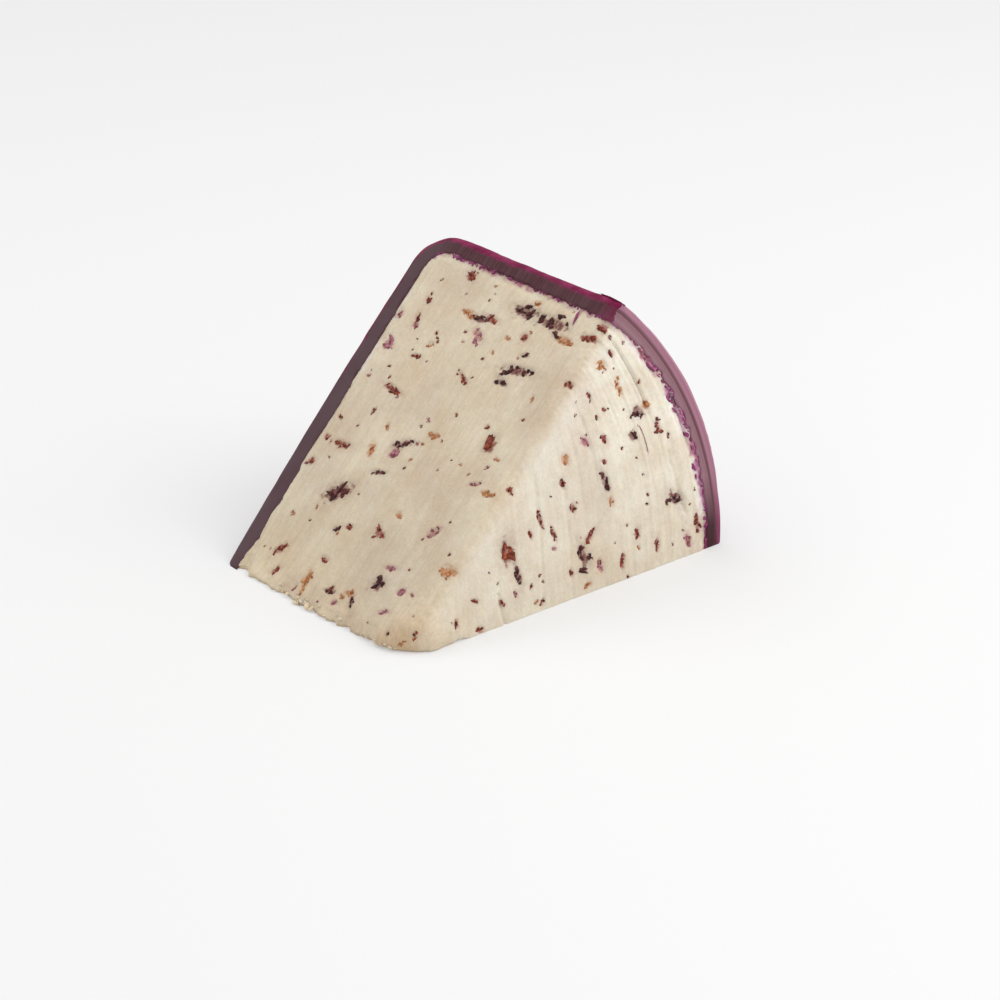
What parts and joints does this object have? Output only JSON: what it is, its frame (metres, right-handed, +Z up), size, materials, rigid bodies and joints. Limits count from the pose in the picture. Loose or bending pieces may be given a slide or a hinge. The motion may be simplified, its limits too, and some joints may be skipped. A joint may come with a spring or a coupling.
{
  "type": "cranberry wensleydale block",
  "caption": "Wedge-shaped block of pale crumbly cheese with cranberry pieces, cut from a wax-coated round and lying on a cut face.",
  "frame": {"origin": "middle of the footprint of the block, on the surface it lies on", "axes": "+X from the thin edge of the wedge (the round's centre line) to the rim, the longest side; +Y from the bare mid-height cut to the waxed flat face; +Z up"},
  "size_m": [0.085, 0.0634, 0.0606],
  "materials": {
    "paste": "matte",
    "wax": "semi-gloss",
    "cranberry": "semi-gloss"
  },
  "bodies": {
    "root": {"paste": "paste", "wax": "wax"}
  },
  "joints": []
}
